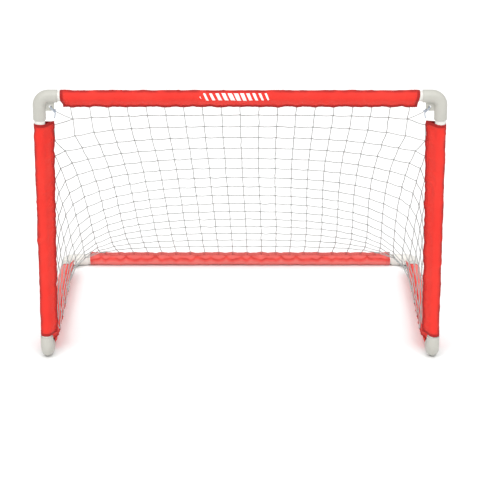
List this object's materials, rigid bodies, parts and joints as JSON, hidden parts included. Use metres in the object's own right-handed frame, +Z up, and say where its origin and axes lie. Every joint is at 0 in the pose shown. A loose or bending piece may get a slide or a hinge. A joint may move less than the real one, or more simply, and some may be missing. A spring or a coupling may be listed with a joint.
{
  "type": "hockey goal net",
  "caption": "Small street hockey goal: straight tubes pushed into corner elbows, loose red fabric sleeves over the tubes and a light square-mesh net sewn to the sleeves.",
  "frame": {"origin": "on the floor, midway across the goal mouth and midway from front to back", "axes": "+X across the goal mouth to the right as seen from the front, +Y from the mouth to the back, +Z up"},
  "size_m": [0.914, 0.64, 0.64],
  "materials": {
    "tube": "satin",
    "elbow": "satin",
    "sleeve": "matte",
    "net": "matte",
    "tie": "matte"
  },
  "bodies": {
    "root": {"crossbar_tube": "tube", "left_post_tube": "tube", "right_post_tube": "tube", "left_base_tube": "tube", "right_base_tube": "tube", "rear_tube": "tube", "top_left_elbow": "elbow", "top_right_elbow": "elbow", "left_foot_elbow": "elbow", "right_foot_elbow": "elbow", "rear_left_elbow": "elbow", "rear_right_elbow": "elbow", "crossbar_sleeve": "sleeve", "left_post_sleeve": "sleeve", "right_post_sleeve": "sleeve", "left_base_sleeve": "sleeve", "right_base_sleeve": "sleeve", "rear_sleeve": "sleeve", "net_back": "net", "net_left_side": "net", "net_right_side": "net", "top_left_tie": "tie", "top_right_tie": "tie"}
  },
  "joints": []
}
